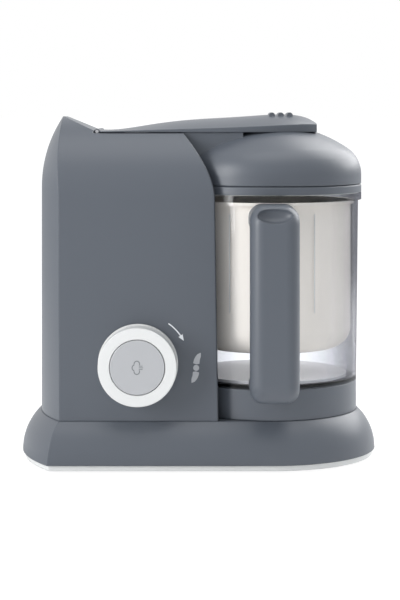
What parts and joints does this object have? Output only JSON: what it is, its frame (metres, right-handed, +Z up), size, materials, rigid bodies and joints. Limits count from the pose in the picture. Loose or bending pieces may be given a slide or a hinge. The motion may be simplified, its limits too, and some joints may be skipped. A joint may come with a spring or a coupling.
{
  "type": "baby food maker",
  "caption": "Countertop steamer and blender: grey housing with hinged domed lid, clear bowl with handle and inner basket, and a round control on the front.",
  "frame": {"origin": "centre of the bounding box at the underside of the feet", "axes": "+X right, +Y to the back, +Z up"},
  "size_m": [0.259, 0.1878, 0.2522],
  "materials": {
    "grey": "satin",
    "white": "satin",
    "rubber": "matte",
    "clear": "clear",
    "cream": "satin",
    "silver": "satin",
    "steel": "brushed",
    "black": "matte",
    "brass": "satin",
    "board": "satin",
    "silicone": "matte"
  },
  "bodies": {
    "machine": {"base_shell": "grey", "bottom_plate": "white", "rubber_feet": "rubber", "housing_shell": "grey", "rear_cover": "grey", "water_tank": "steel", "heating_element": "steel", "motor_bracket": "steel", "motor_can": "steel", "shaft_bearing": "brass", "drive_belt": "rubber", "bowl_seat": "grey", "hinge_pin": "steel", "hinge_lugs": "grey", "knob_bezel": "white", "selector_switch": "black", "control_board": "board", "cord_gland": "rubber", "plate_screws": "steel"},
    "lid": {"lid_dome": "grey", "lid_rim": "grey", "lid_seal": "silicone", "lid_liner": "white", "tank_seal": "silicone", "lid_arm": "grey"},
    "dial": {"control_ring": "white"},
    "button": {"steam_button": "silver"},
    "bowl": {"bowl_ring": "grey", "bowl_jar": "clear", "shaft_bush": "white", "steam_basket": "cream", "bowl_handle": "grey"},
    "blade": {"blade_dog": "black", "blade_shaft": "steel", "blade_hub": "white", "blade_knife": "steel"},
    "drive": {"driven_pulley": "black", "drive_shaft": "steel", "drive_dog": "black"},
    "motor": {"motor_armature": "steel", "motor_pulley": "black"}
  },
  "joints": [
    {"name": "lid_hinge", "type": "hinge", "parent": "machine", "child": "lid", "pos_m": [-0.0736, 0.01615, 0.2386], "axis": [0, -1, 0], "range_deg": [0, 80]},
    {"name": "control_turn", "type": "hinge", "parent": "machine", "child": "dial", "pos_m": [-0.0429, -0.04385, 0.0754], "axis": [0, 1, 0], "range_deg": [0, 45], "stiffness_Nm_per_rad": 0.05},
    {"name": "steam_press", "type": "slide", "parent": "dial", "child": "button", "axis": [0, 1, 0], "range_m": [0, 0.002], "stiffness_N_per_m": 300},
    {"name": "bowl_twist", "type": "hinge", "parent": "machine", "child": "bowl", "pos_m": [0.0518, 0.01615, 0.05], "axis": [0, 0, 1], "range_deg": [0, 25]},
    {"name": "motor_spin", "type": "hinge", "parent": "machine", "child": "motor", "pos_m": [-0.06925, 0.01615, 0.05], "axis": [0, 0, 1], "continuous": true},
    {"name": "drive_spin", "type": "hinge", "parent": "machine", "child": "drive", "pos_m": [0.0518, 0.01615, 0.03], "axis": [0, 0, 1], "continuous": true},
    {"name": "blade_spin", "type": "hinge", "parent": "bowl", "child": "blade", "pos_m": [0.0518, 0.01615, 0.06], "axis": [0, 0, 1], "continuous": true}
  ],
  "couplings": [
    {"joint": "drive_spin", "follows": "motor_spin", "ratio": 0.33333},
    {"joint": "blade_spin", "follows": "motor_spin", "ratio": 0.33333}
  ]
}
